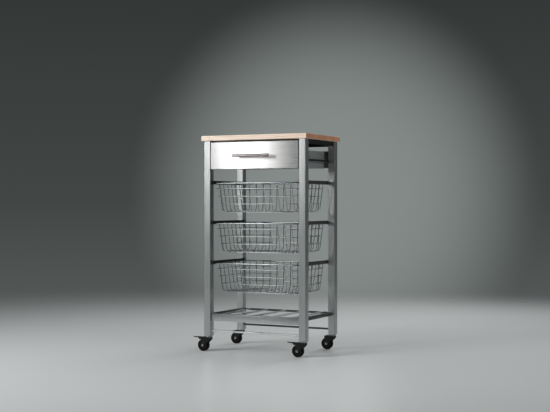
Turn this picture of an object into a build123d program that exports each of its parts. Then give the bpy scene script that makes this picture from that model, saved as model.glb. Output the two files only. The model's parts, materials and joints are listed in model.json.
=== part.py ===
from build123d import *
import os

# Kitchen cart: a wooden worktop on four square posts, a drawer, three wire baskets that slide
# on rails between the posts, a slatted bottle shelf and four swivel casters.
# Millimetres. The origin is on the floor under the middle of the frame. +Z is up, +X is to the
# right and the drawer faces -Y.

os.makedirs("parts", exist_ok=True)

# Frame of square tubes
frame_width = 470.0
frame_depth = 314.0
post_size = 30.0
post_wall = 1.5
post_corner = 2.0
tie_rod_height = 22.0
tie_rod_diameter = 8.0

# Worktop board and the angles that carry it
top_thickness = 21.0
top_overhang_side = 8.0
top_overhang_front = 10.0
top_overhang_rear = 8.0
top_edge_round = 2.0
top_rail_leg = 20.0
top_rail_wall = 2.0
top_rail_setback = 5.0
top_screw_inset = 45.0
top_screw_length = 14.0

# Bottle shelf
shelf_height = 94.0
shelf_tube_wall = 1.5
shelf_front_height = 30.0
shelf_front_depth = 14.0
shelf_side_size = 15.0
shelf_rear_size = 8.0
slat_count = 5
slat_width = 20.0
slat_thickness = 3.0
slat_edge_gap = 21.0
bottle_space = 88.5

# Basket rails, channels that open towards the middle of the cart
rail_height = 15.0
rail_depth = 10.0
rail_wall = 1.5
rail_end_gap = 4.0
rail_stop_gap = 0.5

# Wire baskets
basket_count = 3
basket_depth = 124.0
basket_gap = 43.0
basket_front_gap = 12.0
basket_rear_gap = 5.0
basket_front_slope = 30.0
basket_rear_slope = 4.0
basket_side_slope = 17.0
rim_diameter = 6.0
rim_corner = 20.0
rim_side_gap = 3.5
rim_seat_gap = 0.3
wire_diameter = 2.8
wire_bend = 20.0
wire_shoulder = 4.0
wire_rail_gap = 1.1
mesh_pitch = 33.0
ring_count = 3
ring_first = 23.0
weld_depth = 0.6

# Drawer front and box
drawer_drop = 55.5
drawer_front_height = 111.0
drawer_top_gap = 7.0
drawer_side_gap = 2.0
drawer_core_thickness = 15.0
drawer_facing = 1.0
drawer_facing_round = 0.8
drawer_box_height = 71.0
drawer_box_rise = 5.0
drawer_box_side_gap = 15.0
drawer_box_rear_gap = 36.0
drawer_box_wall = 1.0
rear_panel_height = 71.0
rear_panel_rise = 8.0
rear_panel_depth = 12.0
rear_panel_setback = 1.0
rear_panel_wall = 1.5

# Drawer runners on the posts, and the slide channels on the drawer box
runner_rise = 31.0
runner_height = 8.0
runner_width = 12.5
runner_front_gap = 3.0
runner_rear_gap = 1.0
runner_screw_inset = 5.5
slide_wall = 1.2
slide_seat_gap = 0.3
slide_post_gap = 2.0
slide_end_gap = 3.0

# Bar handle
handle_length = 166.0
handle_diameter = 11.0
handle_standoff = 30.0
handle_drop = 2.0
handle_hole_spacing = 96.0
handle_post_diameter = 8.0
handle_end_chamfer = 0.8
handle_screw_depth = 10.0

# Pan head screws
screw_diameter = 4.0
screw_head_diameter = 7.5
screw_head_height = 2.4
screw_clearance = 0.1
rail_screw_length = 12.0

# Casters
wheel_diameter = 50.0
wheel_width = 18.0
tread_round = 3.5
hub_diameter = 36.0
hub_rim_width = 15.0
hub_rim_thickness = 4.0
hub_web_thickness = 6.0
hub_boss_diameter = 14.0
hub_side_gap = 0.3
axle_diameter = 6.0
axle_head_diameter = 11.0
axle_head_height = 2.5
caster_trail = 25.0
fork_tyre_gap = 1.0
fork_leg_thickness = 2.5
fork_boss_diameter = 15.0
fork_leg_front = 10.0
fork_leg_top = 9.0
crown_tyre_gap = 5.7
crown_thickness = 4.0
crown_diameter = 27.0
crown_reach = 21.0
swivel_gap = 0.3
swivel_head_diameter = 30.0
swivel_head_height = 5.0
swivel_head_round = 1.5
kingpin_diameter = 8.0
rivet_diameter = 13.0
rivet_height = 3.0
stem_diameter = 10.0
stem_length = 32.0
socket_length = 36.0
running_clearance = 0.05

# Brake pedals of the front casters
pedal_pivot_reach = 30.0
pedal_pivot_rise = 5.0
pedal_pin_diameter = 4.0
pedal_eye_diameter = 7.2
pedal_length = 40.0
pedal_tip_rise = 6.0
pedal_tip_thickness = 3.0
pedal_side_gap = 1.0
shoe_drop = 6.0
shoe_near = 10.0
shoe_far = 12.5

# Heights, worked out from the floor up
wheel_radius = wheel_diameter / 2
crown_bottom = wheel_diameter + crown_tyre_gap
crown_top = crown_bottom + crown_thickness
swivel_head_bottom = crown_top + swivel_gap
post_foot = swivel_head_bottom + swivel_head_height
shelf_top = post_foot + shelf_height
tie_rod_z = post_foot + tie_rod_height
basket_pitch = basket_depth + basket_gap
rail_z_bottom = shelf_top + bottle_space + basket_depth
rail_z_top = rail_z_bottom + (basket_count - 1) * basket_pitch
drawer_bottom = rail_z_top + drawer_drop
drawer_top = drawer_bottom + drawer_front_height
post_top = drawer_top + drawer_top_gap
box_bottom = drawer_bottom + drawer_box_rise
box_top = box_bottom + drawer_box_height
runner_z = box_bottom + runner_rise
handle_z = (drawer_bottom + drawer_top) / 2 - handle_drop

# Places across and along the cart
post_x = (frame_width - post_size) / 2
post_y = (frame_depth - post_size) / 2
inner_x = frame_width / 2 - post_size
inner_y = frame_depth / 2 - post_size
front_y = -frame_depth / 2
rear_y = frame_depth / 2
rail_front = front_y + rail_end_gap
rail_rear = rear_y - rail_end_gap
core_front = front_y + drawer_facing
box_front = core_front + drawer_core_thickness
box_rear = rear_y - drawer_box_rear_gap
box_x = inner_x - drawer_box_side_gap
runner_front = box_front + runner_front_gap
panel_rear = rear_y - rear_panel_setback
panel_front = panel_rear - rear_panel_depth
runner_rear = panel_front - runner_rear_gap
runner_screw_places = {
    "front": runner_front + runner_screw_inset,
    "rear": runner_rear - runner_screw_inset,
}
handle_y = front_y - handle_standoff

sides = {"left": -1, "right": 1}
ends = {"front": -1, "rear": 1}
levels = {
    "bottom": rail_z_bottom,
    "middle": rail_z_bottom + basket_pitch,
    "top": rail_z_top,
}


def save(piece, name):
    """Label a finished piece and write it to its own file."""
    piece.part.label = name
    export_step(piece.part, f"parts/{name}.step")


def plane_xz(y):
    """Upright plane across the cart at a place along it. It faces the front."""
    return Plane.XZ.offset(-y)


def plane_yz(x):
    """Upright plane along the cart at a place across it. It faces the right."""
    return Plane.YZ.offset(x)


def block(low, high, mode=Mode.ADD):
    """Box between two corners, in the part being built."""
    centre = [(a + b) / 2 for a, b in zip(low, high)]
    size = [abs(b - a) for a, b in zip(low, high)]
    with Locations(tuple(centre)):
        Box(*size, mode=mode)


def rod(start, end, diameter, mode=Mode.ADD):
    """Round bar between two points, in the part being built."""
    along = Vector(*end) - Vector(*start)
    with Locations(Plane(Vector(*start), z_dir=along)):
        Cylinder(
            diameter / 2,
            along.length,
            align=(Align.CENTER, Align.CENTER, Align.MIN),
            mode=mode,
        )


def screw(seat, direction, length):
    """Pan head screw whose head lies on a seat, in the part being built."""
    seat = Vector(*seat)
    direction = Vector(*direction)
    rod(seat - direction * screw_head_height, seat, screw_head_diameter)
    rod(seat, seat + direction * length, screw_diameter)


def turned(points, centre, axis):
    """Solid of revolution in the part being built. Each point is a radius and a place on the axis."""
    normal = Vector(1, 0, 0).cross(Vector(*axis))
    with BuildSketch(Plane(centre, x_dir=(1, 0, 0), z_dir=normal)) as profile:
        with BuildLine():
            Polyline(*points, close=True)
        make_face()
    revolve(profile.sketch, axis=Axis(centre, axis))


# Worktop, with pilot holes for its screws
top_left = -frame_width / 2 - top_overhang_side
top_right = frame_width / 2 + top_overhang_side
top_front = front_y - top_overhang_front
top_rear = rear_y + top_overhang_rear
angle_x = frame_width / 2 - top_rail_setback
angle_y = rear_y - top_rail_setback
flange_middle = (top_rail_wall + top_rail_leg) / 2
flange_bottom = post_top - top_rail_wall
top_screw_seats = []
for side in sides.values():
    for end in ends.values():
        top_screw_seats.append((side * (angle_x - flange_middle), end * (inner_y - top_screw_inset)))
    top_screw_seats.append((side * (inner_x - top_screw_inset), angle_y - flange_middle))

with BuildPart() as wood_top:
    block((top_left, top_front, post_top), (top_right, top_rear, post_top + top_thickness))
    fillet(wood_top.edges(), top_edge_round)
    for x, y in top_screw_seats:
        pilot_top = flange_bottom + top_screw_length + screw_clearance
        rod((x, y, post_top), (x, y, pilot_top), screw_diameter + 2 * screw_clearance, Mode.SUBTRACT)
save(wood_top, "wood_top")

# Posts, with holes in the inner faces for the screws of the rails and runners
for end_name, end in ends.items():
    for side_name, side in sides.items():
        holes = [(end * post_y, z) for z in levels.values()]
        holes.append((runner_screw_places[end_name], runner_z))
        with BuildPart() as post:
            with BuildSketch(Plane.XY.offset(post_foot)):
                with Locations((side * post_x, end * post_y)):
                    RectangleRounded(post_size, post_size, post_corner)
                    bore = post_size - 2 * post_wall
                    RectangleRounded(bore, bore, post_corner - post_wall, mode=Mode.SUBTRACT)
            extrude(amount=post_top - post_foot)
            for y, z in holes:
                rod(
                    (side * (inner_x - post_wall), y, z),
                    (side * (inner_x + 2 * post_wall), y, z),
                    screw_diameter + 2 * screw_clearance,
                    Mode.SUBTRACT,
                )
        save(post, f"post_{end_name}_{side_name}")

# Sockets pressed into the feet of the posts
with BuildPart() as caster_sockets:
    for x in (-post_x, post_x):
        for y in (-post_y, post_y):
            with BuildSketch(Plane.XY.offset(post_foot)):
                with Locations((x, y)):
                    bore = post_size - 2 * post_wall
                    RectangleRounded(bore, bore, post_corner - post_wall)
                    Circle(stem_diameter / 2 + running_clearance, mode=Mode.SUBTRACT)
            extrude(amount=socket_length)
save(caster_sockets, "caster_sockets")

# Angles under the worktop at both sides and at the rear
for side_name, side in sides.items():
    with BuildPart() as top_rail:
        outer = side * angle_x
        block((outer, -inner_y, post_top - top_rail_leg), (outer - side * top_rail_wall, inner_y, post_top))
        block((outer, -inner_y, flange_bottom), (outer - side * top_rail_leg, inner_y, post_top))
        for x, y in top_screw_seats:
            if x * side > 0 and abs(y) < inner_y:
                bore = screw_diameter + 2 * screw_clearance
                rod((x, y, flange_bottom), (x, y, post_top), bore, Mode.SUBTRACT)
    save(top_rail, f"top_rail_{side_name}")

with BuildPart() as top_rail_rear:
    block((-inner_x, angle_y - top_rail_wall, post_top - top_rail_leg), (inner_x, angle_y, post_top))
    block((-inner_x, angle_y - top_rail_leg, flange_bottom), (inner_x, angle_y, post_top))
    for x, y in top_screw_seats:
        if y > inner_y:
            bore = screw_diameter + 2 * screw_clearance
            rod((x, y, flange_bottom), (x, y, post_top), bore, Mode.SUBTRACT)
save(top_rail_rear, "top_rail_rear")

with BuildPart() as top_screws:
    for x, y in top_screw_seats:
        screw((x, y, flange_bottom), (0, 0, 1), top_screw_length)
save(top_screws, "top_screws")

# Folded panel across the rear, at the height of the drawer box
panel_bottom = drawer_bottom + rear_panel_rise
panel_top = panel_bottom + rear_panel_height
with BuildPart() as rear_panel:
    block((-inner_x, panel_front, panel_bottom), (inner_x, panel_rear, panel_top))
    block(
        (-inner_x, panel_front, panel_bottom + rear_panel_wall),
        (inner_x, panel_rear - rear_panel_wall, panel_top - rear_panel_wall),
        Mode.SUBTRACT,
    )
save(rear_panel, "rear_panel")

# Basket rails, with a stop behind the basket
basket_front = front_y + basket_front_gap + rim_diameter / 2
basket_rear = inner_y - basket_rear_gap - rim_diameter / 2
stop_front = basket_rear + rim_diameter / 2 + rail_stop_gap
for level, z in levels.items():
    for side_name, side in sides.items():
        with BuildPart() as basket_rail:
            mouth = side * (inner_x - rail_depth)
            web = side * (inner_x - rail_wall)
            block((mouth, rail_front, z - rail_height / 2), (side * inner_x, rail_rear, z + rail_height / 2))
            groove = rail_height / 2 - rail_wall
            block((mouth, rail_front, z - groove), (web, stop_front, z + groove), Mode.SUBTRACT)
            stop_rear = stop_front + rail_wall
            block((mouth, stop_rear, z - groove), (web, rail_rear, z + groove), Mode.SUBTRACT)
            for y in (-post_y, post_y):
                bore = screw_diameter + 2 * screw_clearance
                rod((web, y, z), (side * inner_x, y, z), bore, Mode.SUBTRACT)
        save(basket_rail, f"basket_rail_{level}_{side_name}")

# Drawer runners, bars with sunk screws
for side_name, side in sides.items():
    inner_face = side * (inner_x - runner_width)
    sunk_face = side * (inner_x - runner_width + screw_head_height)
    with BuildPart() as runner:
        block(
            (inner_face, runner_front, runner_z - runner_height / 2),
            (side * inner_x, runner_rear, runner_z + runner_height / 2),
        )
        for y in runner_screw_places.values():
            seat_bore = screw_head_diameter + 2 * screw_clearance
            shank_bore = screw_diameter + 2 * screw_clearance
            rod((inner_face, y, runner_z), (sunk_face, y, runner_z), seat_bore, Mode.SUBTRACT)
            rod((sunk_face, y, runner_z), (side * inner_x, y, runner_z), shank_bore, Mode.SUBTRACT)
    save(runner, f"drawer_runner_{side_name}")

with BuildPart() as rail_screws:
    for side in sides.values():
        for y in (-post_y, post_y):
            for z in levels.values():
                screw((side * (inner_x - rail_wall), y, z), (side, 0, 0), rail_screw_length)
        for y in runner_screw_places.values():
            sunk_face = side * (inner_x - runner_width + screw_head_height)
            screw((sunk_face, y, runner_z), (side, 0, 0), rail_screw_length)
save(rail_screws, "rail_screws")

# Bottle shelf: front tube, side tubes, rear bar and slats between them
shelf_front_y = -post_y - shelf_front_depth / 2
slat_front = -post_y + shelf_front_depth / 2
slat_rear = post_y - shelf_rear_size / 2

with BuildPart() as shelf_front_rail:
    with BuildSketch(plane_yz(-inner_x)):
        with Locations((-post_y, shelf_top - shelf_front_height / 2)):
            Rectangle(shelf_front_depth, shelf_front_height)
            Rectangle(
                shelf_front_depth - 2 * shelf_tube_wall,
                shelf_front_height - 2 * shelf_tube_wall,
                mode=Mode.SUBTRACT,
            )
    extrude(amount=2 * inner_x)
save(shelf_front_rail, "shelf_front_rail")

with BuildPart() as shelf_rear_bar:
    block((-inner_x, slat_rear, shelf_top - shelf_rear_size), (inner_x, slat_rear + shelf_rear_size, shelf_top))
save(shelf_rear_bar, "shelf_rear_bar")

for side_name, side in sides.items():
    with BuildPart() as shelf_side_rail:
        with BuildSketch(plane_xz(inner_y)):
            with Locations((side * (inner_x + shelf_side_size / 2), shelf_top - shelf_side_size / 2)):
                Rectangle(shelf_side_size, shelf_side_size)
                bore = shelf_side_size - 2 * shelf_tube_wall
                Rectangle(bore, bore, mode=Mode.SUBTRACT)
        extrude(amount=2 * inner_y)
    save(shelf_side_rail, f"shelf_side_rail_{side_name}")

slat_pitch = (2 * inner_x - 2 * slat_edge_gap - slat_width) / (slat_count - 1)
with BuildPart() as shelf_slats:
    for i in range(slat_count):
        x = (i - (slat_count - 1) / 2) * slat_pitch
        block(
            (x - slat_width / 2, slat_front, shelf_top - slat_thickness),
            (x + slat_width / 2, slat_rear, shelf_top),
        )
save(shelf_slats, "shelf_slats")

# Tie rods between the feet of the posts
for end_name, end in ends.items():
    with BuildPart() as tie_rod:
        rod((-inner_x, end * post_y, tie_rod_z), (inner_x, end * post_y, tie_rod_z), tie_rod_diameter)
    save(tie_rod, f"tie_rod_{end_name}")

# Drawer front: a board with a folded stainless facing round its face and edges
front_x = inner_x - drawer_side_gap
core_x = front_x - drawer_facing
handle_holes = [(side * handle_hole_spacing / 2, handle_z) for side in sides.values()]
screw_bore = screw_diameter + 2 * screw_clearance

with BuildPart() as drawer_front_core:
    block(
        (-core_x, core_front, drawer_bottom + drawer_facing),
        (core_x, box_front, drawer_top - drawer_facing),
    )
    for x, z in handle_holes:
        rod((x, core_front, z), (x, box_front, z), screw_bore, Mode.SUBTRACT)
save(drawer_front_core, "drawer_front_core")

with BuildPart() as drawer_front_facing:
    block((-front_x, front_y, drawer_bottom), (front_x, box_front, drawer_top))
    fillet(drawer_front_facing.faces().sort_by(Axis.Y)[0].edges(), drawer_facing_round)
    block(
        (-core_x, core_front, drawer_bottom + drawer_facing),
        (core_x, box_front, drawer_top - drawer_facing),
        Mode.SUBTRACT,
    )
    for x, z in handle_holes:
        rod((x, front_y, z), (x, core_front, z), screw_bore, Mode.SUBTRACT)
save(drawer_front_facing, "drawer_front_facing")

# Drawer box folded from one sheet
with BuildPart() as drawer_box:
    block((-box_x, box_front, box_bottom), (box_x, box_rear, box_top))
    block(
        (-box_x + drawer_box_wall, box_front + drawer_box_wall, box_bottom + drawer_box_wall),
        (box_x - drawer_box_wall, box_rear - drawer_box_wall, box_top),
        Mode.SUBTRACT,
    )
    for x, z in handle_holes:
        rod((x, box_front, z), (x, box_front + drawer_box_wall, z), screw_bore, Mode.SUBTRACT)
save(drawer_box, "drawer_box")

# Slide channels on the drawer box, which open outwards over the runners
slide_half_bore = runner_height / 2 + slide_seat_gap
slide_half_height = slide_half_bore + slide_wall
slide_tip = inner_x - slide_post_gap
for side_name, side in sides.items():
    with BuildPart() as slide:
        front = box_front + slide_end_gap
        rear = box_rear - slide_end_gap
        block(
            (side * box_x, front, runner_z - slide_half_height),
            (side * slide_tip, rear, runner_z + slide_half_height),
        )
        block(
            (side * (box_x + slide_wall), front, runner_z - slide_half_bore),
            (side * slide_tip, rear, runner_z + slide_half_bore),
            Mode.SUBTRACT,
        )
    save(slide, f"drawer_slide_{side_name}")

# Handle: a round bar, two posts that end in saddles under it, and the screws that hold them
with BuildPart() as handle_bar:
    rod((-handle_length / 2, handle_y, handle_z), (handle_length / 2, handle_y, handle_z), handle_diameter)
    chamfer(handle_bar.edges().filter_by(GeomType.CIRCLE), handle_end_chamfer)
save(handle_bar, "handle_bar")

with BuildPart() as handle_posts:
    for x, z in handle_holes:
        rod((x, front_y, z), (x, handle_y, z), handle_post_diameter)
        bore_end = front_y - handle_screw_depth - screw_clearance
        rod((x, front_y, z), (x, bore_end, z), screw_bore, Mode.SUBTRACT)
    rod(
        (-handle_length / 2, handle_y, handle_z),
        (handle_length / 2, handle_y, handle_z),
        handle_diameter,
        Mode.SUBTRACT,
    )
save(handle_posts, "handle_posts")

with BuildPart() as handle_screws:
    seat_y = box_front + drawer_box_wall
    for x, z in handle_holes:
        screw((x, seat_y, z), (0, -1, 0), seat_y - front_y + handle_screw_depth)
save(handle_screws, "handle_screws")


def bent_wire(plane, points, radii):
    """Basket wire along straight runs and bends in one plane."""
    with BuildPart() as wire:
        with BuildLine(plane) as path:
            FilletPolyline(*points, radius=radii)
        with BuildSketch(Plane(path.line @ 0, z_dir=path.line % 0)):
            Circle(wire_diameter / 2)
        sweep()
    return wire.part


def wire_ring(z, half_width, front, rear, corner, diameter):
    """Closed level ring of wire with round corners."""
    with BuildSketch(Plane.XY.offset(z)) as outline:
        with Locations((0, (front + rear) / 2)):
            RectangleRounded(2 * half_width, rear - front, corner)
    path = outline.sketch.faces()[0].outer_wire()
    with BuildPart() as ring:
        with BuildSketch(Plane(path @ 0, z_dir=path % 0)):
            Circle(diameter / 2)
        sweep(path=path)
    return ring.part


def spread(low, high, pitch):
    """Even places from low to high, about one pitch apart."""
    gaps = max(1, round((high - low) / pitch))
    return [low + (high - low) * i / gaps for i in range(gaps + 1)]


# Wire basket, with z measured from the middle of its rails. The cross wires run under the long
# wires, and the rings run round the outside of both.
layer = wire_diameter - weld_depth
rim_z = rim_seat_gap + rim_diameter / 2 + rail_wall - rail_height / 2
cross_z = wire_diameter / 2 - basket_depth
long_z = cross_z + layer
rim_x = inner_x - rail_wall - rim_side_gap - rim_diameter / 2
wall_x = inner_x - rail_depth - wire_rail_gap - wire_diameter / 2
floor_x = wall_x - basket_side_slope
floor_front = basket_front + basket_front_slope
floor_rear = basket_rear - basket_rear_slope
cross_points = [
    (-rim_x, rim_z),
    (-wall_x, rim_z),
    (-floor_x, cross_z),
    (floor_x, cross_z),
    (wall_x, rim_z),
    (rim_x, rim_z),
]
cross_radii = [wire_shoulder, wire_bend, wire_bend, wire_shoulder]
long_points = [
    (basket_front, rim_z),
    (floor_front, long_z),
    (floor_rear, long_z),
    (basket_rear, rim_z),
]
wires = [wire_ring(rim_z, rim_x, basket_front, basket_rear, rim_corner, rim_diameter)]
for x in spread(wire_bend / 2 - floor_x, floor_x - wire_bend / 2, mesh_pitch):
    wires.append(bent_wire(plane_yz(x), long_points, wire_bend))
for y in spread(floor_front + wire_bend / 2, floor_rear - wire_bend / 2, mesh_pitch):
    wires.append(bent_wire(plane_xz(y), cross_points, cross_radii))
ring_pitch = (rim_z - long_z - ring_first) / ring_count
for i in range(ring_count):
    drop = ring_first + i * ring_pitch
    share = drop / (rim_z - long_z)
    wires.append(
        wire_ring(
            rim_z - drop,
            wall_x - share * basket_side_slope + layer,
            basket_front + share * basket_front_slope - layer,
            basket_rear - share * basket_rear_slope + layer,
            wire_bend,
            wire_diameter,
        )
    )
with BuildPart() as basket:
    add(wires)

for level, z in levels.items():
    with BuildPart() as placed_basket:
        with Locations((0, 0, z)):
            add(basket.part)
    save(placed_basket, f"basket_{level}")

# Casters. Each trails to the left of its stem.
hub_radius = hub_diameter / 2
leg_inner = wheel_width / 2 + fork_tyre_gap
leg_outer = leg_inner + fork_leg_thickness
rivet_top = crown_bottom - swivel_gap
pivot_z = wheel_diameter + pedal_pivot_rise
for end_name, end in ends.items():
    for side_name, side in sides.items():
        corner_name = f"{end_name}_{side_name}"
        stem_x = side * post_x
        stem_y = end * post_y
        axle_x = stem_x - caster_trail
        axle = (axle_x, stem_y, wheel_radius)
        pivot_x = stem_x - pedal_pivot_reach
        braked = end_name == "front"

        with BuildPart() as stem:
            turned(
                [
                    (0, post_foot + stem_length),
                    (stem_diameter / 2, post_foot + stem_length),
                    (stem_diameter / 2, post_foot),
                    (swivel_head_diameter / 2, post_foot),
                    (swivel_head_diameter / 2, swivel_head_bottom),
                    (kingpin_diameter / 2, swivel_head_bottom),
                    (kingpin_diameter / 2, rivet_top),
                    (rivet_diameter / 2, rivet_top),
                    (rivet_diameter / 2, rivet_top - rivet_height),
                    (0, rivet_top - rivet_height),
                ],
                (stem_x, stem_y, 0),
                (0, 0, 1),
            )
            rims = stem.edges().filter_by(GeomType.CIRCLE).sort_by(SortBy.RADIUS)[-2:]
            fillet(rims, swivel_head_round)
        save(stem, f"caster_stem_{corner_name}")

        with BuildPart() as fork:
            with BuildSketch(Plane.XY.offset(crown_bottom)):
                with Locations((stem_x, stem_y)):
                    Circle(crown_diameter / 2)
                with Locations((stem_x - crown_reach / 2, stem_y)):
                    Rectangle(crown_reach, 2 * leg_outer)
            extrude(amount=crown_thickness)
            for near in (-leg_inner, leg_outer):
                with BuildSketch(plane_xz(stem_y + near)):
                    with Locations((axle_x, wheel_radius)):
                        Circle(fork_boss_diameter / 2)
                    leg_rear = pivot_x - pedal_eye_diameter / 2
                    leg_front = stem_x + fork_leg_front
                    with Locations(((leg_rear + leg_front) / 2, crown_top - fork_leg_top / 2)):
                        Rectangle(leg_front - leg_rear, fork_leg_top)
                    make_hull()
                extrude(amount=fork_leg_thickness)
            king_bore = kingpin_diameter + 2 * running_clearance
            rod((stem_x, stem_y, crown_bottom), (stem_x, stem_y, crown_top), king_bore, Mode.SUBTRACT)
            rod(
                (axle_x, stem_y - leg_outer, wheel_radius),
                (axle_x, stem_y + leg_outer, wheel_radius),
                axle_diameter,
                Mode.SUBTRACT,
            )
            if braked:
                rod(
                    (pivot_x, stem_y - leg_outer, pivot_z),
                    (pivot_x, stem_y + leg_outer, pivot_z),
                    pedal_pin_diameter + 2 * running_clearance,
                    Mode.SUBTRACT,
                )
        save(fork, f"caster_fork_{corner_name}")

        with BuildPart() as axle_pin:
            turned(
                [
                    (0, -leg_outer - axle_head_height),
                    (axle_head_diameter / 2, -leg_outer - axle_head_height),
                    (axle_head_diameter / 2, -leg_outer),
                    (axle_diameter / 2, -leg_outer),
                    (axle_diameter / 2, leg_outer),
                    (axle_head_diameter / 2, leg_outer),
                    (axle_head_diameter / 2, leg_outer + axle_head_height),
                    (0, leg_outer + axle_head_height),
                ],
                axle,
                (0, 1, 0),
            )
        save(axle_pin, f"caster_axle_{corner_name}")

        boss_half = leg_inner - hub_side_gap
        bore_radius = axle_diameter / 2 + running_clearance
        with BuildPart() as hub:
            turned(
                [
                    (bore_radius, -boss_half),
                    (hub_boss_diameter / 2, -boss_half),
                    (hub_boss_diameter / 2, -hub_web_thickness / 2),
                    (hub_radius - hub_rim_thickness, -hub_web_thickness / 2),
                    (hub_radius - hub_rim_thickness, -hub_rim_width / 2),
                    (hub_radius, -hub_rim_width / 2),
                    (hub_radius, hub_rim_width / 2),
                    (hub_radius - hub_rim_thickness, hub_rim_width / 2),
                    (hub_radius - hub_rim_thickness, hub_web_thickness / 2),
                    (hub_boss_diameter / 2, hub_web_thickness / 2),
                    (hub_boss_diameter / 2, boss_half),
                    (bore_radius, boss_half),
                ],
                axle,
                (0, 1, 0),
            )
        save(hub, f"caster_hub_{corner_name}")

        with BuildPart() as tyre:
            with BuildSketch(plane_xz(stem_y + wheel_width / 2)):
                with Locations((axle_x, wheel_radius)):
                    Circle(wheel_radius)
                    Circle(hub_radius, mode=Mode.SUBTRACT)
            extrude(amount=wheel_width)
            fillet(tyre.edges().filter_by(GeomType.CIRCLE).sort_by(SortBy.RADIUS)[-2:], tread_round)
        save(tyre, f"caster_tyre_{corner_name}")

        if braked:
            pedal_half = leg_inner - pedal_side_gap
            with BuildPart() as pedal:
                with BuildSketch(plane_xz(stem_y + pedal_half)):
                    with Locations((pivot_x, pivot_z)):
                        Circle(pedal_eye_diameter / 2)
                    with BuildLine():
                        Polyline(
                            (pivot_x, pivot_z + pedal_eye_diameter / 2),
                            (pivot_x - pedal_length, pivot_z + pedal_tip_rise),
                            (pivot_x - pedal_length, pivot_z + pedal_tip_rise - pedal_tip_thickness),
                            (pivot_x - shoe_far - pedal_tip_thickness, pivot_z),
                            (pivot_x - shoe_far, pivot_z - shoe_drop),
                            (pivot_x - shoe_near, pivot_z - shoe_drop),
                            (pivot_x, pivot_z - pedal_eye_diameter / 2),
                            close=True,
                        )
                    make_face()
                extrude(amount=2 * pedal_half)
                rod(
                    (pivot_x, stem_y - leg_outer, pivot_z),
                    (pivot_x, stem_y + leg_outer, pivot_z),
                    pedal_pin_diameter,
                )
            save(pedal, f"brake_pedal_{side_name}")
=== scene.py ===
# Looks of the kitchen cart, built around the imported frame.
# Metres. The origin is on the floor under the middle of the frame, +Z is up and the drawer faces -Y.

import json
import math

import bpy
from mathutils import Matrix, Vector


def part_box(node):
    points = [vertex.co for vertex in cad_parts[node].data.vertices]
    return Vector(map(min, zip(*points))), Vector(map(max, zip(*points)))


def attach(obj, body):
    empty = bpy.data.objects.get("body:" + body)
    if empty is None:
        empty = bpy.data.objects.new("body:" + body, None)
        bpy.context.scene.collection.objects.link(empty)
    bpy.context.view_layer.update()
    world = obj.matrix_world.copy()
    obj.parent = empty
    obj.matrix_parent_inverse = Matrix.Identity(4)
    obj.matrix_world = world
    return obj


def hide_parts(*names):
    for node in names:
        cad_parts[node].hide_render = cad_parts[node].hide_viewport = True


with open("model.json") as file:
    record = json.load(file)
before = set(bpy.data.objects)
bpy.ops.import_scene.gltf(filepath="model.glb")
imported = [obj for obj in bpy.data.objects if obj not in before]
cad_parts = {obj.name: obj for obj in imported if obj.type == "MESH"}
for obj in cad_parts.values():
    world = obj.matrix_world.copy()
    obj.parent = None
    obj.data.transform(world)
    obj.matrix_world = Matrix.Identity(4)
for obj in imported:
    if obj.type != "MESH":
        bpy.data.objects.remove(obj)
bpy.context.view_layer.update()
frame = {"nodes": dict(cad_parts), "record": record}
nodes = frame["nodes"]

# Materials


def linear(hex_colour):
    """Linear colour with alpha from an sRGB hex value."""
    channels = [int(hex_colour[i : i + 2], 16) / 255 for i in (1, 3, 5)]
    straight = [c / 12.92 if c <= 0.04045 else ((c + 0.055) / 1.055) ** 2.4 for c in channels]
    return (*straight, 1.0)


def add_node(tree, kind, settings=None, values=None, links=None):
    """Add a shader node with its settings, its input values and the sockets that feed it."""
    node = tree.nodes.new(kind)
    for name, value in (settings or {}).items():
        setattr(node, name, value)
    for name, value in (values or {}).items():
        node.inputs[name].default_value = value
    for name, socket in (links or {}).items():
        tree.links.new(socket, node.inputs[name])
    return node


def start_material(name, metallic=0.0):
    """New material with its node tree, its shader and the socket that gives the place on the cart."""
    material = bpy.data.materials.new(name)
    material.use_nodes = True
    tree = material.node_tree
    shader = tree.nodes["Principled BSDF"]
    shader.inputs["Metallic"].default_value = metallic
    place = add_node(tree, "ShaderNodeTexCoord").outputs["Object"]
    return material, tree, shader, place


def set_ramp(ramp, stops):
    """Give a colour ramp its stops, each a place and an sRGB hex colour."""
    elements = ramp.color_ramp.elements
    while len(elements) < len(stops):
        elements.new(0.5)
    for element, (place, hex_colour) in zip(elements, stops):
        element.position = place
        element.color = linear(hex_colour)


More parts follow.
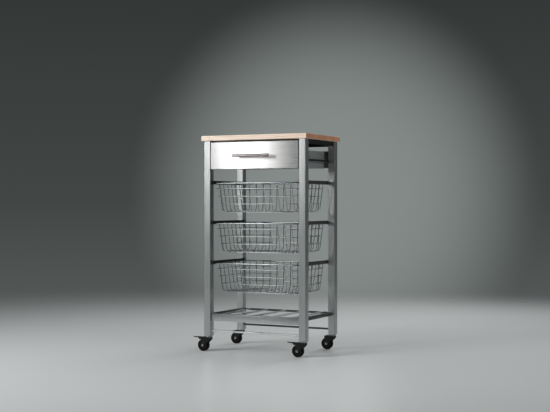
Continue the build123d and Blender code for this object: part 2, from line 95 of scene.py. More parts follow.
# Oiled beech: staves glued side by side, each with its own tint, growth rings that run as straight
# grain along the board and as arcs on its ends, and short brown flecks. Oil leaves a low sheen.
# A fibre is drawn about 110 mm long and 3 mm wide, and a fleck 6 mm long and 0.8 mm wide.
def make_oiled_beech():
    stave_width = 0.0415
    stave_length = 0.31
    stave_stagger = 0.37
    stave_shift = 0.09
    first_stave = 0.030
    glue_line = 0.0003
    fibres_per_metre = (9.0, 300.0, 300.0)
    flecks_per_metre = (180.0, 1300.0, 1300.0)
    grain_jump = (0.7, 0.05, 0.06)
    grain_depth = 0.0003
    ring_spacing = 0.0045
    heart_height = 0.80
    ring_stretch = (0.25, 1.0, 1.0)
    waves_per_unit = 20 / (2 * math.pi)
    board_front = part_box("wood_top")[0].y
    material, tree, shader, place = start_material("oiled_beech")
    laid = add_node(
        tree,
        "ShaderNodeMapping",
        values={"Location": (stave_shift, stave_width - first_stave - board_front, 0.0)},
        links={"Vector": place},
    )
    staves = add_node(
        tree,
        "ShaderNodeTexBrick",
        settings={"offset": stave_stagger, "offset_frequency": 2, "squash": 1.0},
        values={
            "Color1": linear("#000000"),
            "Color2": linear("#ffffff"),
            "Mortar": (0.5, 0.5, 0.5, 1.0),
            "Scale": 1.0,
            "Mortar Size": glue_line,
            "Mortar Smooth": 0.1,
            "Brick Width": stave_length,
            "Row Height": stave_width,
        },
        links={"Vector": laid.outputs["Vector"]},
    )
    moved = add_node(
        tree,
        "ShaderNodeVectorMath",
        settings={"operation": "MULTIPLY_ADD"},
        values={1: grain_jump},
        links={0: staves.outputs["Color"], 2: place},
    )
    fibres = add_node(
        tree,
        "ShaderNodeMapping",
        values={"Scale": fibres_per_metre},
        links={"Vector": moved.outputs["Vector"]},
    )
    grain = add_node(
        tree,
        "ShaderNodeTexNoise",
        values={"Scale": 1.0, "Detail": 5.0, "Roughness": 0.6},
        links={"Vector": fibres.outputs["Vector"]},
    )
    rings_place = add_node(
        tree,
        "ShaderNodeMapping",
        values={"Location": (0.0, 0.0, -heart_height), "Scale": ring_stretch},
        links={"Vector": moved.outputs["Vector"]},
    )
    rings = add_node(
        tree,
        "ShaderNodeTexWave",
        settings={"wave_type": "RINGS", "rings_direction": "X", "wave_profile": "SAW"},
        values={
            "Scale": 1.0 / waves_per_unit / ring_spacing,
            "Distortion": 3.0,
            "Detail": 2.0,
            "Detail Scale": 0.4,
        },
        links={"Vector": rings_place.outputs["Vector"]},
    )
    fleck_place = add_node(
        tree,
        "ShaderNodeMapping",
        values={"Scale": flecks_per_metre},
        links={"Vector": moved.outputs["Vector"]},
    )
    flecks = add_node(
        tree,
        "ShaderNodeTexNoise",
        values={"Scale": 1.0, "Detail": 1.0},
        links={"Vector": fleck_place.outputs["Vector"]},
    )
    tint = add_node(tree, "ShaderNodeValToRGB", links={"Fac": staves.outputs["Color"]})
    set_ramp(tint, [(0.0, "#d9cec7"), (0.5, "#e3dbd5"), (1.0, "#ebe5e2")])
    grain_tone = add_node(tree, "ShaderNodeValToRGB", links={"Fac": grain.outputs["Fac"]})
    set_ramp(grain_tone, [(0.3, "#e4d8ca"), (0.7, "#ffffff")])
    ring_tone = add_node(tree, "ShaderNodeValToRGB", links={"Fac": rings.outputs["Fac"]})
    set_ramp(ring_tone, [(0.0, "#ffffff"), (0.8, "#f4ece2"), (1.0, "#d8c3ab")])
    fleck_tone = add_node(tree, "ShaderNodeValToRGB", links={"Fac": flecks.outputs["Fac"]})
    set_ramp(fleck_tone, [(0.62, "#ffffff"), (0.72, "#d0ad88")])
    glue_tone = add_node(tree, "ShaderNodeValToRGB", links={"Fac": staves.outputs["Fac"]})
    set_ramp(glue_tone, [(0.0, "#ffffff"), (1.0, "#b4946e")])
    # Faces that point along X, the ends of the board, take a darker, browner tone: partly the real darker
    # end grain, partly painted shade.
    facing = add_node(
        tree,
        "ShaderNodeSeparateXYZ",
        links={"Vector": add_node(tree, "ShaderNodeNewGeometry").outputs["Normal"]},
    )
    end_grain_and_shade_facing = add_node(
        tree,
        "ShaderNodeMath",
        settings={"operation": "ABSOLUTE"},
        links={0: facing.outputs["X"]},
    )
    end_grain_and_shade_tone = add_node(tree, "ShaderNodeValToRGB", links={"Fac": end_grain_and_shade_facing.outputs["Value"]})
    set_ramp(end_grain_and_shade_tone, [(0.5, "#ffffff"), (0.8, "#c99e83")])
    colour = tint.outputs["Color"]
    for tone in (grain_tone, ring_tone, fleck_tone, glue_tone, end_grain_and_shade_tone):
        mixed = add_node(
            tree,
            "ShaderNodeMix",
            settings={"data_type": "RGBA", "blend_type": "MULTIPLY"},
            values={"Factor": 1.0},
            links={6: colour, 7: tone.outputs["Color"]},
        )
        colour = mixed.outputs[2]
    tree.links.new(colour, shader.inputs["Base Color"])
    sheen = add_node(
        tree,
        "ShaderNodeMapRange",
        values={"From Min": 0.3, "From Max": 0.7, "To Min": 0.50, "To Max": 0.40},
        links={"Value": grain.outputs["Fac"]},
    )
    tree.links.new(sheen.outputs["Result"], shader.inputs["Roughness"])
    bump = add_node(
        tree,
        "ShaderNodeBump",
        values={"Strength": 0.25, "Distance": grain_depth},
        links={"Height": grain.outputs["Fac"]},
    )
    tree.links.new(bump.outputs["Normal"], shader.inputs["Normal"])
    return material


# Brushed stainless: fine scratches along one direction, drawn about 1 mm apart so that they show,
# over slow changes of tone from rolling and handling. Level scratches draw a lamp out upright.
def make_brushed_stainless(name, tones, scratches_per_metre, roughness, spread, cut):
    smudges_per_metre = 14.0
    scratch_depth = 0.0002
    material, tree, shader, place = start_material(name, metallic=1.0)
    shader.inputs["Anisotropic"].default_value = spread
    shader.inputs["Anisotropic Rotation"].default_value = 0.25
    stretched = add_node(
        tree,
        "ShaderNodeMapping",
        values={"Scale": scratches_per_metre},
        links={"Vector": place},
    )
    scratches = add_node(
        tree,
        "ShaderNodeTexNoise",
        values={"Scale": 1.0, "Detail": 4.0, "Roughness": 0.65},
        links={"Vector": stretched.outputs["Vector"]},
    )
    smudges = add_node(
        tree,
        "ShaderNodeTexNoise",
        values={"Scale": smudges_per_metre, "Detail": 3.0, "Roughness": 0.55},
        links={"Vector": place},
    )
    tone = add_node(tree, "ShaderNodeValToRGB", links={"Fac": scratches.outputs["Fac"]})
    set_ramp(tone, list(zip((0.3, 0.7), tones)))
    tree.links.new(tone.outputs["Color"], shader.inputs["Base Color"])
    worn = add_node(
        tree,
        "ShaderNodeMath",
        settings={"operation": "MULTIPLY_ADD"},
        values={1: 0.35},
        links={0: smudges.outputs["Fac"], 2: scratches.outputs["Fac"]},
    )
    rough = add_node(
        tree,
        "ShaderNodeMapRange",
        values={"From Min": 0.4, "From Max": 1.0, "To Min": roughness[0], "To Max": roughness[1]},
        links={"Value": worn.outputs["Value"]},
    )
    tree.links.new(rough.outputs["Result"], shader.inputs["Roughness"])
    bump = add_node(
        tree,
        "ShaderNodeBump",
        values={"Strength": cut, "Distance": scratch_depth},
        links={"Height": scratches.outputs["Fac"]},
    )
    tree.links.new(bump.outputs["Normal"], shader.inputs["Normal"])
    return material


# Plated and polished metal: bright, with faint wiping marks about 17 mm across in its gloss.
def make_chrome_plate(name, tones, roughness):
    marks_per_metre = 60.0
    material, tree, shader, place = start_material(name, metallic=1.0)
    marks = add_node(
        tree,
        "ShaderNodeTexNoise",
        values={"Scale": marks_per_metre, "Detail": 4.0, "Roughness": 0.6},
        links={"Vector": place},
    )
    tone = add_node(tree, "ShaderNodeValToRGB", links={"Fac": marks.outputs["Fac"]})
    set_ramp(tone, list(zip((0.35, 0.65), tones)))
    tree.links.new(tone.outputs["Color"], shader.inputs["Base Color"])
    rough = add_node(
        tree,
        "ShaderNodeMapRange",
        values={"From Min": 0.35, "From Max": 0.65, "To Min": roughness[0], "To Max": roughness[1]},
        links={"Value": marks.outputs["Fac"]},
    )
    tree.links.new(rough.outputs["Result"], shader.inputs["Roughness"])
    return material


# Moulded and coated surfaces: one colour with slow mottling, and the fine grain that the mould or
# the powder leaves, drawn as coarse as it needs to show.
def make_grained_surface(name, tones, grain_size, grain_height, roughness, gloss):
    mottles_per_metre = 35.0
    material, tree, shader, place = start_material(name)
    shader.inputs["Specular IOR Level"].default_value = gloss
    grain = add_node(
        tree,
        "ShaderNodeTexNoise",
        values={"Scale": 1.0 / grain_size, "Detail": 2.0, "Roughness": 0.5},
        links={"Vector": place},
    )
    mottle = add_node(
        tree,
        "ShaderNodeTexNoise",
        values={"Scale": mottles_per_metre, "Detail": 5.0, "Roughness": 0.6},
        links={"Vector": place},
    )
    tone = add_node(tree, "ShaderNodeValToRGB", links={"Fac": mottle.outputs["Fac"]})
    set_ramp(tone, list(zip((0.35, 0.7), tones)))
    tree.links.new(tone.outputs["Color"], shader.inputs["Base Color"])
    rough = add_node(
        tree,
        "ShaderNodeMapRange",
        values={"From Min": 0.3, "From Max": 0.7, "To Min": roughness[0], "To Max": roughness[1]},
        links={"Value": mottle.outputs["Fac"]},
    )
    tree.links.new(rough.outputs["Result"], shader.inputs["Roughness"])
    bump = add_node(
        tree,
        "ShaderNodeBump",
        values={"Strength": 0.5, "Distance": grain_height},
        links={"Height": grain.outputs["Fac"]},
    )
    tree.links.new(bump.outputs["Normal"], shader.inputs["Normal"])
    return material


# Particle board: pressed chips a few millimetres long in straw and brown tones, dull all over.
def make_particle_board():
    chip_size = 0.004
    chip_height = 0.0003
    material, tree, shader, place = start_material("particle_board")
    chips = add_node(
        tree,
        "ShaderNodeTexVoronoi",
        values={"Scale": 1.0 / chip_size, "Randomness": 1.0},
        links={"Vector": place},
    )
    tone = add_node(tree, "ShaderNodeValToRGB", links={"Fac": chips.outputs["Color"]})
    set_ramp(tone, [(0.0, "#8f6f49"), (0.4, "#b8976a"), (0.75, "#cfb184"), (1.0, "#a88658")])
    tree.links.new(tone.outputs["Color"], shader.inputs["Base Color"])
    shader.inputs["Roughness"].default_value = 0.85
    bump = add_node(
        tree,
        "ShaderNodeBump",
        values={"Strength": 0.4, "Distance": chip_height},
        links={"Height": chips.outputs["Distance"]},
    )
    tree.links.new(bump.outputs["Normal"], shader.inputs["Normal"])
    return material


scratches_along_x = (4.0, 900.0, 900.0)
scratches_along_z = (900.0, 900.0, 4.0)
finishes = {
    "beech": make_oiled_beech(),
    "frame_metal": make_brushed_stainless(
        "brushed_stainless_tube",
        tones=("#b4b6b6", "#c8caca"),
        scratches_per_metre=scratches_along_z,
        roughness=(0.32, 0.38),
        spread=0.0,
        cut=0.10,
    ),
    "rail_metal": make_grained_surface(
        "grey_satin_coat",
        tones=("#2a2c2c", "#343636"),
        grain_size=0.0010,
        grain_height=0.00006,
        roughness=(0.34, 0.44),
        gloss=0.4,
    ),
    "stainless": make_brushed_stainless(
        "brushed_stainless_sheet",
        tones=("#a6a6a5", "#b4b4b3"),
        scratches_per_metre=scratches_along_x,
        roughness=(0.27, 0.29),
        spread=0.95,
        cut=0.03,
    ),
    "handle_metal": make_chrome_plate(
        "satin_chrome_bar", tones=("#857c7d", "#978e8e"), roughness=(0.16, 0.24)
    ),
    "chrome": make_chrome_plate(
        "bright_chrome_plate", tones=("#cfd1d2", "#dfe0e1"), roughness=(0.15, 0.23)
    ),
    "chrome_wire": make_chrome_plate(
        "chromed_steel_wire", tones=("#8f9294", "#a4a7a9"), roughness=(0.05, 0.11)
    ),
    "zinc_screw": make_chrome_plate(
        "zinc_plated_steel", tones=("#a9aaa2", "#bdbdb9"), roughness=(0.30, 0.42)
    ),
    "drawer_sheet": make_grained_surface(
        "grey_powder_coat",
        tones=("#6a6c6c", "#7a7c7c"),
        grain_size=0.0012,
        grain_height=0.0001,
        roughness=(0.40, 0.50),
        gloss=0.5,
    ),
    "core_board": make_particle_board(),
    "runner_plastic": make_grained_surface(
        "black_nylon_runner",
        tones=("#141414", "#1d1d1d"),
        grain_size=0.0010,
        grain_height=0.00005,
        roughness=(0.35, 0.45),
        gloss=0.4,
    ),
    "black_plastic": make_grained_surface(
        "moulded_black_nylon",
        tones=("#0c0d0d", "#141515"),
        grain_size=0.0008,
        grain_height=0.00008,
        roughness=(0.38, 0.55),
        gloss=0.3,
    ),
    "hub_plastic": make_grained_surface(
        "moulded_black_hub_nylon",
        tones=("#0f1010", "#181919"),
        grain_size=0.0008,
        grain_height=0.00008,
        roughness=(0.34, 0.5),
        gloss=0.3,
    ),
    "tyre_rubber": make_grained_surface(
        "black_rubber_tyre",
        tones=("#080808", "#0e0e0d"),
        grain_size=0.0010,
        grain_height=0.0001,
        roughness=(0.62, 0.82),
        gloss=0.12,
    ),
}

for subpart in frame["record"]["subparts"]:
    node = nodes[subpart["node"]]
    node.data.materials.clear()
    node.data.materials.append(finishes[subpart["material_slot"]])

# Pieces whose plain CAD shape gets a finer one
flat_angle = math.radians(0.5)
sharp_angle = math.radians(40.0)
smooth_angle = math.radians(35.0)
cad_merge_distance = 0.00001
turned_merge_distance = 0.000005


def finish_piece(piece, body, slot):
    """Give a new piece the finish of its material slot and the body that it moves with."""
    piece.data.materials.clear()
    piece.data.materials.append(finishes[slot])
    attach(piece, body)


def eased_copy(node_name, piece_name, body, slot, width):
    """Copy of a CAD piece with its sharp edges broken by a small round, shown in its place."""
    bpy.ops.object.select_all(action="DESELECT")
    piece = bpy.data.objects.new(piece_name, nodes[node_name].data.copy())
    bpy.context.scene.collection.objects.link(piece)
    bpy.context.view_layer.objects.active = piece
    piece.select_set(True)
    bpy.ops.object.mode_set(mode="EDIT")
    bpy.ops.mesh.select_all(action="SELECT")
    bpy.ops.mesh.customdata_custom_splitnormals_clear()
    bpy.ops.mesh.remove_doubles(threshold=cad_merge_distance)
    bpy.ops.mesh.dissolve_limited(angle_limit=flat_angle)
    bpy.ops.object.mode_set(mode="OBJECT")
    ease = piece.modifiers.new("eased_edges", "BEVEL")
    ease.width = width
    ease.segments = 3
    ease.limit_method = "ANGLE"
    ease.angle_limit = sharp_angle
    bpy.ops.object.modifier_apply(modifier=ease.name)
    bpy.ops.object.shade_smooth_by_angle(angle=smooth_angle)
    finish_piece(piece, body, slot)
    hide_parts(node_name)
    return piece


def turn_profile(name, profile, centre, axis, steps):
    """Piece turned as on a lathe. The profile is points of radius and place along the axis."""
    bpy.ops.object.select_all(action="DESELECT")
    axis = Vector(axis)
    outward = Vector((1.0, 0.0, 0.0))
    points = [Vector(centre) + outward * radius + axis * along for radius, along in profile]
    bpy.ops.mesh.primitive_plane_add(size=0.001, location=points[0])
    piece = bpy.context.object
    piece.name = name
    bpy.ops.object.transform_apply(location=True, rotation=True, scale=True)
    bpy.ops.object.mode_set(mode="EDIT")
    bpy.ops.mesh.select_all(action="SELECT")
    bpy.ops.mesh.merge(type="CENTER")
    for start, end in zip(points, points[1:]):
        bpy.ops.mesh.extrude_region_move(TRANSFORM_OT_translate={"value": end - start})
    bpy.ops.mesh.select_all(action="SELECT")
    bpy.ops.mesh.spin(steps=steps, angle=2.0 * math.pi, center=centre, axis=axis)
    bpy.ops.mesh.select_all(action="SELECT")
    bpy.ops.mesh.remove_doubles(threshold=turned_merge_distance)
    bpy.ops.mesh.normals_make_consistent(inside=False)
    bpy.ops.object.mode_set(mode="OBJECT")
    bpy.ops.object.shade_smooth_by_angle(angle=smooth_angle)
    return piece


def bevelled_bar(name, centre, size, turn, width):
    """Small bar with rounded edges. It is turned about the cart's Y axis."""
    bpy.ops.object.select_all(action="DESELECT")
    bpy.ops.mesh.primitive_cube_add(size=1.0, location=centre, rotation=(0.0, turn, 0.0))
    bar = bpy.context.object
    bar.name = name
    bar.scale = size
    bpy.ops.object.transform_apply(location=True, rotation=True, scale=True)
    bpy.ops.object.mode_set(mode="EDIT")
    bpy.ops.mesh.select_all(action="SELECT")
    bpy.ops.mesh.bevel(offset=width, segments=2, affect="EDGES")
    bpy.ops.object.mode_set(mode="OBJECT")
    bpy.ops.object.shade_smooth_by_angle(angle=smooth_angle)
    return bar


def join_into(piece, others):
    """Join small pieces into a larger one."""
    bpy.ops.object.select_all(action="DESELECT")
    for other in others:
        other.select_set(True)
    piece.select_set(True)
    bpy.context.view_layer.objects.active = piece
    bpy.ops.object.join()


def copy_to(piece, name, shift):
    """Copy of a piece with its own mesh, moved by a shift."""
    copy = bpy.data.objects.new(name, piece.data.copy())
    copy.data.transform(Matrix.Translation(shift))
    bpy.context.scene.collection.objects.link(copy)
    return copy


# Sheet and tube pieces, each with the size of the round on its edges
shelf_tube_round = 0.0012
shelf_bar_round = 0.0008
slat_round = 0.0007
folded_sheet_round = 0.0005
runner_round = 0.0006
box_round = 0.0003
basket_rail_round = 0.0004
fork_round = 0.0006
pedal_round = 0.0005
eased_pieces = [
    ("shelf_front_rail", "frame", "frame_metal", shelf_tube_round),
    ("shelf_side_rail_left", "frame", "rail_metal", shelf_tube_round),
    ("shelf_side_rail_right", "frame", "rail_metal", shelf_tube_round),
    ("shelf_rear_bar", "frame", "rail_metal", shelf_bar_round),
    ("shelf_slats", "frame", "frame_metal", slat_round),
    ("rear_panel", "frame", "drawer_sheet", folded_sheet_round),
    ("top_rail_left", "frame", "rail_metal", folded_sheet_round),
    ("top_rail_right", "frame", "rail_metal", folded_sheet_round),
    ("top_rail_rear", "frame", "rail_metal", folded_sheet_round),
    ("drawer_runner_left", "frame", "runner_plastic", runner_round),
    ("drawer_runner_right", "frame", "runner_plastic", runner_round),
    ("drawer_box", "drawer", "drawer_sheet", box_round),
]
for level in ("bottom", "middle", "top"):
    for side in ("left", "right"):
        eased_pieces.append((f"basket_rail_{level}_{side}", "frame", "rail_metal", basket_rail_round))
for node_name, body, slot, width in eased_pieces:
    eased_copy(node_name, f"{node_name}_eased", body, slot, width)

# The rails under the worktop get a near-black coat that paints in the shade the worktop casts on them, and
# the front tie rod is polished
under_top_painted_shade_coat = make_grained_surface(
    "painted_shade_black_coat",
    tones=("#0b0c0c", "#101111"),
    grain_size=0.0010,
    grain_height=0.00006,
    roughness=(0.40, 0.50),
    gloss=0.25,
)
# Painted shade: the near-black colour stands in for the shade under the worktop.
for place in ("left", "right", "rear"):
    bpy.data.objects[f"top_rail_{place}_eased"].data.materials[0] = under_top_painted_shade_coat
polished_rod = make_chrome_plate(
    "polished_stainless_rod", tones=("#d6d7d7", "#e4e5e5"), roughness=(0.28, 0.36)
)
nodes["tie_rod_front"].data.materials[0] = polished_rod

# Casters. The first one is modelled at the front right, and the others are copies of its pieces.
corners = ("front_right", "front_left", "rear_right", "rear_left")
first_tyre_low, first_tyre_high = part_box("caster_tyre_front_right")
first_axle = (first_tyre_low + first_tyre_high) / 2
wheel_radius = (first_tyre_high.z - first_tyre_low.z) / 2
half_tread = (first_tyre_high.y - first_tyre_low.y) / 2
hub_radius = (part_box("caster_hub_front_right")[1].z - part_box("caster_hub_front_right")[0].z) / 2
half_boss = (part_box("caster_hub_front_right")[1].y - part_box("caster_hub_front_right")[0].y) / 2
half_axle = (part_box("caster_axle_front_right")[1].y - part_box("caster_axle_front_right")[0].y) / 2
axle_way = (0.0, 1.0, 0.0)


def both_ways(half_profile):
    """Whole profile from its half: the points, then the same points on the other side in turn."""
    return half_profile + [(radius, -along) for radius, along in reversed(half_profile)]


def make_tyre():
    """Rubber tyre with round shoulders, two fine tread grooves and a bead round each wall."""
    groove_outer = 0.0034
    groove_inner = 0.0018
    groove_depth = 0.0006
    groove_slope = 0.0004
    # Rise above the hub and inset from the wall
    bead = [(0.0, 0.0006), (0.0006, 0.0), (0.0018, 0.0), (0.0024, 0.0005), (0.0030, 0.0001)]
    # Drop below the tread and inset from the wall
    shoulder = [(0.0026, 0.0002), (0.0014, 0.0007), (0.0006, 0.0016), (0.0002, 0.0028), (0.0, 0.0042)]
    half = [(hub_radius + rise, half_tread - inset) for rise, inset in bead]
    half += [(wheel_radius - drop, half_tread - inset) for drop, inset in shoulder]
    half += [
        (wheel_radius, groove_outer),
        (wheel_radius - groove_depth, groove_outer - groove_slope),
        (wheel_radius - groove_depth, groove_inner + groove_slope),
        (wheel_radius, groove_inner),
    ]
    profile = both_ways(half)
    return turn_profile("tyre_front_right", profile + profile[:1], first_axle, axle_way, 64)


def make_hub():
    """Moulded hub: rim, thin web, boss round the axle, and six ribs on each side."""
    bore_radius = 0.00305
    boss_radius = 0.0070
    half_web = 0.0030
    half_rim = 0.0075
    rim_inner = hub_radius - 0.004
    fine_break = 0.0005
    wide_break = 0.0006
    half = [
        (bore_radius, half_boss),
        (boss_radius - wide_break, half_boss),
        (boss_radius, half_boss - wide_break),
        (boss_radius, half_web + fine_break),
        (boss_radius + fine_break, half_web),
        (rim_inner - wide_break, half_web),
        (rim_inner, half_web + wide_break),
        (rim_inner, half_rim - fine_break),
        (rim_inner + fine_break, half_rim),
        (hub_radius - fine_break, half_rim),
        (hub_radius, half_rim - fine_break),
    ]
    profile = both_ways(half)
    hub = turn_profile("hub_front_right", profile + profile[:1], first_axle, axle_way, 48)
    rib_count = 6
    rib_inner = 0.0068
    rib_outer = rim_inner + 0.0003
    rib_size = (rib_outer - rib_inner, 0.0126, 0.0020)
    rib_round = 0.0003
    ribs = []
    for i in range(rib_count):
        turn = 2.0 * math.pi * (i + 0.5) / rib_count
        outward = Vector((math.cos(turn), 0.0, -math.sin(turn)))
        centre = first_axle + outward * (rib_inner + rib_outer) / 2
        ribs.append(bevelled_bar(f"hub_rib_{i}", centre, rib_size, turn, rib_round))
    join_into(hub, ribs)
    return hub


def make_swivel_head():
    """Stem with a pressed steel swivel head, round at its shoulder, and the rivet under the fork."""
    low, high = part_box("caster_stem_front_right")
    middle = (low + high) / 2
    swivel_gap = 0.0003
    stem_radius = 0.0050
    stem_break = 0.0004
    kingpin_radius = 0.0040
    rivet_height = 0.0030
    head_break = 0.0005
    head_radius = (high.x - low.x) / 2
    head_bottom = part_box("caster_fork_front_right")[1].z + swivel_gap
    head_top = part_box("post_front_right")[0].z
    # Inset from the head's side and drop below its top
    shoulder = [(0.0016, 0.0), (0.0009, 0.0003), (0.0004, 0.0010), (0.0001, 0.0020), (0.0, 0.0028)]
    # Radius and rise above the foot of the rivet
    rivet = [(0.0065, rivet_height), (0.0062, 0.0012), (0.0048, 0.0002), (0.0, 0.0)]
    profile = [
        (0.0, high.z),
        (stem_radius - stem_break, high.z),
        (stem_radius, high.z - stem_break),
        (stem_radius, head_top),
    ]
    profile += [(head_radius - inset, head_top - drop) for inset, drop in shoulder]
    profile += [
        (head_radius, head_bottom + head_break),
        (head_radius - head_break, head_bottom),
        (kingpin_radius, head_bottom),
        (kingpin_radius, low.z + rivet_height),
    ]
    profile += [(radius, low.z + rise) for radius, rise in rivet]
    foot = (middle.x, middle.y, 0.0)
    return turn_profile("swivel_head_front_right", profile, foot, (0.0, 0.0, 1.0), 48)


def make_axle():
    """Axle pin with domed heads outside the fork."""
    head_radius = 0.0055
    head_height = 0.0025
    shank_radius = 0.0030
    # Radius and drop below the top of the dome
    dome = [(0.0, 0.0), (0.0022, 0.0001), (0.0040, 0.0006), (0.0051, 0.0014), (head_radius, head_height)]
    half = [(radius, half_axle - drop) for radius, drop in dome]
    half.append((shank_radius, half_axle - head_height))
    return turn_profile("axle_front_right", both_ways(half), first_axle, axle_way, 32)


caster_pieces = [
    (make_tyre(), "tyre", "caster_tyre", "wheel_", "tyre_rubber"),
    (make_hub(), "hub", "caster_hub", "wheel_", "hub_plastic"),
    (make_axle(), "axle", "caster_axle", "swivel_", "zinc_screw"),
    (make_swivel_head(), "swivel_head", "caster_stem", None, "chrome"),
]
for corner in corners:
    low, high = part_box(f"caster_tyre_{corner}")
    shift = (low + high) / 2 - first_axle
    for first, kind, node_kind, carrier, slot in caster_pieces:
        piece = first if corner == "front_right" else copy_to(first, f"{kind}_{corner}", shift)
        finish_piece(piece, f"{carrier}{corner}" if carrier else "frame", slot)
        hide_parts(f"{node_kind}_{corner}")
    eased_copy(f"caster_fork_{corner}", f"fork_{corner}", f"swivel_{corner}", "black_plastic", fork_round)

# Brake pedals with four grip ribs across the pad
grip_first = 0.003
grip_pitch = 0.0045
grip_size = (0.0016, 0.0144, 0.0014)
grip_sink = 0.0001
grip_round = 0.0003
pad_slope = 0.06
for side in ("left", "right"):
    pad = eased_copy(f"brake_pedal_{side}", f"pedal_{side}", f"pedal_{side}", "black_plastic", pedal_round)
    low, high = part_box(f"brake_pedal_{side}")
    ribs = []
    for i in range(4):
        reach = grip_first + grip_pitch * i
        centre = (low.x + reach, (low.y + high.y) / 2, high.z - grip_sink - pad_slope * reach)
        ribs.append(bevelled_bar(f"pedal_rib_{side}_{i}", centre, grip_size, 0.0, grip_round))
    join_into(pad, ribs)

# Floor that fades into the backdrop
floor_radius = 4.0
fade_start = 1.0
fade_end = floor_radius * 0.98


def make_studio_floor():
    """Pale floor with a soft gloss, which fades out towards its rim."""
    material, tree, shader, place = start_material("pale_studio_floor")
    shader.inputs["Base Color"].default_value = linear("#b4b7b7")
    shader.inputs["Roughness"].default_value = 0.30
    reach = add_node(
        tree,
        "ShaderNodeVectorMath",
        settings={"operation": "LENGTH"},
        links={0: place},
    )
    fade = add_node(
        tree,
        "ShaderNodeMapRange",
        settings={"interpolation_type": "SMOOTHSTEP"},
        values={"From Min": fade_start, "From Max": fade_end, "To Min": 0.0, "To Max": 1.0},
        links={"Value": reach.outputs["Value"]},
    )
    clear = add_node(tree, "ShaderNodeBsdfTransparent")
    blend = add_node(
        tree,
        "ShaderNodeMixShader",
        links={0: fade.outputs["Result"], 1: shader.outputs["BSDF"], 2: clear.outputs["BSDF"]},
    )
    output = tree.nodes["Material Output"]
    tree.links.new(blend.outputs["Shader"], output.inputs["Surface"])
    return material


bpy.ops.object.select_all(action="DESELECT")
bpy.ops.mesh.primitive_circle_add(vertices=96, radius=floor_radius, fill_type="NGON", location=(0, 0, 0))
floor = bpy.context.object
floor.name = "studio_floor"
floor.data.materials.append(make_studio_floor())

# Soft studio light


def hang_softbox(name, place, target, size, watts, mirrored):
    """Rectangular soft light turned towards a target. Metal mirrors it only where that is asked."""
    lamp = bpy.data.lights.new(name, "AREA")
    lamp.shape = "RECTANGLE"
    lamp.size, lamp.size_y = size
    lamp.energy = watts
    holder = bpy.data.objects.new(name, lamp)
    bpy.context.scene.collection.objects.link(holder)
    holder.location = place
    aim = [t - p for t, p in zip(target, place)]
    flat = math.hypot(aim[0], aim[1])
    holder.rotation_euler = (math.atan2(flat, -aim[2]), 0.0, math.atan2(-aim[0], aim[1]))
    holder.visible_glossy = mirrored


# Large lamps that light the wood and plastic: name, place, target, size and watts
wide_lamps = [
    ("key_light", (-1.6, -2.6, 1.9), (0.0, 0.0, 0.6), (1.4, 1.4), 105.0),
    ("right_light", (2.6, -0.6, 1.6), (0.0, 0.0, 0.5), (1.2, 1.4), 21.0),
    ("top_light", (-0.2, 0.1, 2.7), (0.0, 0.0, 0.9), (1.6, 1.2), 16.0),
    ("rear_light", (0.6, 2.6, 1.8), (0.0, 0.0, 0.6), (1.4, 1.4), 50.0),
]
for name, place, target, size, watts in wide_lamps:
    hang_softbox(name, place, target, size, watts, mirrored=False)

# Dimmer panels that the metal mirrors, listed in the same way
mirrored_panels = [
    ("front_strip", (-1.35, -2.5, 1.37), (0.0, -0.16, 0.82), (0.33, 1.15), 12.5),
    ("left_panel", (-2.4, 0.4, 1.9), (0.0, 0.0, 0.7), (1.4, 0.9), 3.0),
    ("right_strip", (2.3, 1.35, 1.2), (0.0, 0.0, 0.6), (0.40, 1.2), 3.0),
    ("rear_panel_light", (-0.9, 2.5, 1.5), (0.0, 0.0, 0.8), (0.7, 0.9), 3.0),
]
for name, place, target, size, watts in mirrored_panels:
    hang_softbox(name, place, target, size, watts, mirrored=True)

# Grey backdrop, lighter towards the floor and in a round glow behind the cart. Only what is seen
# directly, mirrored or through a clear surface shows it. Other rays meet a plain soft light.
backdrop_foot = -0.25
backdrop_head = 0.35
glow_direction = (-0.408, 0.913, 0.010)
glow_half_angle = math.radians(10.5)
ambient_strength = 0.36
world = bpy.data.worlds.new("grey_studio")
world.use_nodes = True
bpy.context.scene.world = world
sky = world.node_tree
sky.nodes.clear()
direction = add_node(sky, "ShaderNodeTexCoord").outputs["Generated"]
upward = add_node(sky, "ShaderNodeSeparateXYZ", links={"Vector": direction})
lift = add_node(
    sky,
    "ShaderNodeMapRange",
    values={"From Min": backdrop_foot, "From Max": backdrop_head, "To Min": 0.0, "To Max": 1.0},
    links={"Value": upward.outputs["Z"]},
)
backdrop = add_node(sky, "ShaderNodeValToRGB", links={"Fac": lift.outputs["Result"]})
set_ramp(backdrop, [(0.0, "#6c7170"), (0.42, "#424746"), (1.0, "#1f2222")])
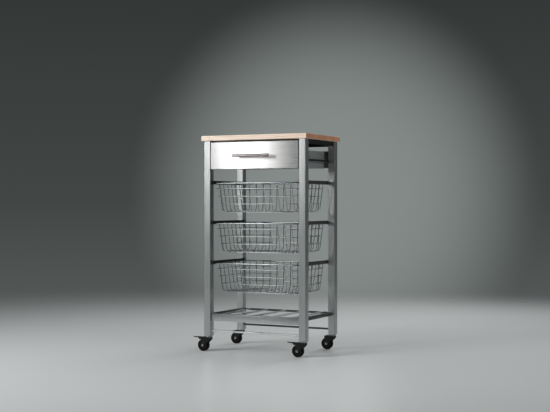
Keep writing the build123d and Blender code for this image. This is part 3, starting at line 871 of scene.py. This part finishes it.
towards_glow = add_node(
    sky,
    "ShaderNodeVectorMath",
    settings={"operation": "DOT_PRODUCT"},
    values={1: glow_direction},
    links={0: direction},
)
glow = add_node(
    sky,
    "ShaderNodeMapRange",
    settings={"interpolation_type": "SMOOTHSTEP"},
    values={"From Min": math.cos(glow_half_angle), "From Max": 1.0, "To Min": 0.0, "To Max": 1.0},
    links={"Value": towards_glow.outputs["Value"]},
)
lit_backdrop = add_node(
    sky,
    "ShaderNodeMix",
    settings={"data_type": "RGBA"},
    values={7: linear("#858b89")},
    links={"Factor": glow.outputs["Result"], 6: backdrop.outputs["Color"]},
)
seen = add_node(
    sky,
    "ShaderNodeBackground",
    values={"Strength": 1.0},
    links={"Color": lit_backdrop.outputs[2]},
)
ambient = add_node(
    sky,
    "ShaderNodeBackground",
    values={"Color": linear("#d9dada"), "Strength": ambient_strength},
)
ray = add_node(sky, "ShaderNodeLightPath")
mirrored = add_node(
    sky,
    "ShaderNodeMath",
    settings={"operation": "MAXIMUM"},
    links={0: ray.outputs["Is Camera Ray"], 1: ray.outputs["Is Glossy Ray"]},
)
shown = add_node(
    sky,
    "ShaderNodeMath",
    settings={"operation": "MAXIMUM"},
    links={0: mirrored.outputs["Value"], 1: ray.outputs["Is Transmission Ray"]},
)
surround = add_node(
    sky,
    "ShaderNodeMixShader",
    links={0: shown.outputs["Value"], 1: ambient.outputs["Background"], 2: seen.outputs["Background"]},
)
add_node(sky, "ShaderNodeOutputWorld", links={"Surface": surround.outputs["Shader"]})
bpy.context.scene.view_settings.view_transform = "Standard"

# Camera at the photograph's viewing angle: level, at the height of the top basket, and to the right of
# the cart
camera_heading = math.radians(27.06)
camera_data = bpy.data.cameras.new("photo_camera")
camera_data.lens = 74.8
camera_data.sensor_width = 36.0
camera_data.shift_y = -0.0053
camera = bpy.data.objects.new("photo_camera", camera_data)
bpy.context.scene.collection.objects.link(camera)
camera.location = (2.204, -4.279, 0.620)
camera.rotation_euler = (math.radians(90.0), 0.0, camera_heading)
bpy.context.scene.camera = camera
